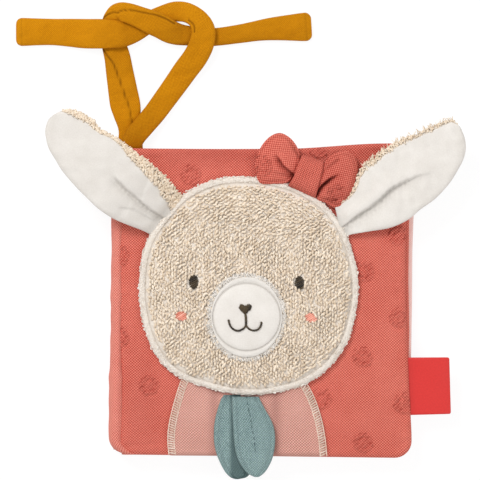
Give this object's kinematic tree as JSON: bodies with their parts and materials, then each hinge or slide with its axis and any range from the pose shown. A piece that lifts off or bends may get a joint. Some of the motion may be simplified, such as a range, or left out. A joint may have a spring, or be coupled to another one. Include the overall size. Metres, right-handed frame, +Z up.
{
  "type": "crinkle cloth book",
  "caption": "Soft square baby book: padded covers and leaf with crackling film on a cloth spine, a stuffed eared animal head with bow and leaf collar on the front, and tie straps.",
  "frame": {"origin": "on the flat underside of the back cover, halfway between the spine and the fore edge and halfway up the page", "axes": "+X from the spine to the fore edge, +Y up the page to the top edge, +Z up from the back cover to the front cover"},
  "size_m": [0.1916, 0.2087, 0.0278],
  "materials": {
    "coral_knit": "fine coral jersey knit",
    "bow_knit": "coral jersey knit, ribbed where it is gathered",
    "pink_knit": "dusty pink jersey knit",
    "pale_lining": "pale pink jersey knit",
    "terry": "greige terry loops",
    "velour": "off-white short velour",
    "mustard_jersey": "mustard jersey tube",
    "teal_cloth": "grey-teal brushed cloth",
    "wadding": "white polyester wadding",
    "crinkle_film": "thin crackling polyester film",
    "brown_thread": "brown satin stitch",
    "salmon_thread": "salmon satin stitch",
    "ribbon": "red satin ribbon, bare"
  },
  "bodies": {
    "back_cover": {"back_cover_outer": "coral_knit", "back_cover_lining": "pale_lining", "back_cover_wadding": "wadding", "back_cover_crinkle_film": "crinkle_film", "spine_lower": "coral_knit", "tie_strap_left": "mustard_jersey", "tie_strap_right": "mustard_jersey"},
    "inner_leaf": {"leaf_front_cloth": "coral_knit", "leaf_back_cloth": "pale_lining", "leaf_wadding": "wadding", "leaf_crinkle_film": "crinkle_film", "leaf_seam_tape": "coral_knit"},
    "front_cover": {"front_cover_outer": "coral_knit", "front_cover_lining": "pale_lining", "front_cover_wadding": "wadding", "front_cover_crinkle_film": "crinkle_film", "spine_upper": "coral_knit", "head_front": "terry", "head_backing": "pink_knit", "head_wadding": "wadding", "muzzle_pad": "velour", "eye_left": "brown_thread", "eye_right": "brown_thread", "cheek_left": "salmon_thread", "cheek_right": "salmon_thread", "nose": "brown_thread", "mouth": "brown_thread", "chest_panel": "pink_knit", "bow_loop_left": "bow_knit", "bow_loop_right": "bow_knit", "bow_knot": "bow_knit", "label_ribbon": "ribbon"},
    "ear_left": {"ear_left_terry_back": "terry", "ear_left_velour_front": "velour"},
    "ear_right": {"ear_right_terry_back": "terry", "ear_right_velour_front": "velour"},
    "collar_left": {"collar_leaf_left": "teal_cloth"},
    "collar_right": {"collar_leaf_right": "teal_cloth"}
  },
  "joints": [
    {"name": "leaf_turn", "type": "hinge", "parent": "back_cover", "child": "inner_leaf", "pos_m": [-0.065, 0, 0.01107], "axis": [0, -1, 0], "range_deg": [0, 180], "deforming": ["spine_lower"]},
    {"name": "cover_turn", "type": "hinge", "parent": "inner_leaf", "child": "front_cover", "pos_m": [-0.065, 0, 0.01107], "axis": [0, -1, 0], "range_deg": [0, 180], "deforming": ["spine_upper"]},
    {"name": "ear_left_lift", "type": "hinge", "parent": "front_cover", "child": "ear_left", "pos_m": [-0.04349, 0.03658, 0.01845], "axis": [0.6074, 0.7944, 0], "range_deg": [0, 100]},
    {"name": "ear_right_lift", "type": "hinge", "parent": "front_cover", "child": "ear_right", "pos_m": [0.03457, 0.03453, 0.01845], "axis": [0.565, -0.8251, 0], "range_deg": [0, 100]},
    {"name": "collar_left_lift", "type": "hinge", "parent": "front_cover", "child": "collar_left", "pos_m": [-0.011, -0.0425, 0.01725], "axis": [-1, 0, 0], "range_deg": [0, 60]},
    {"name": "collar_right_lift", "type": "hinge", "parent": "collar_left", "child": "collar_right", "pos_m": [-0.011, -0.0425, 0.01725], "axis": [-1, 0, 0], "range_deg": [0, 60]}
  ]
}
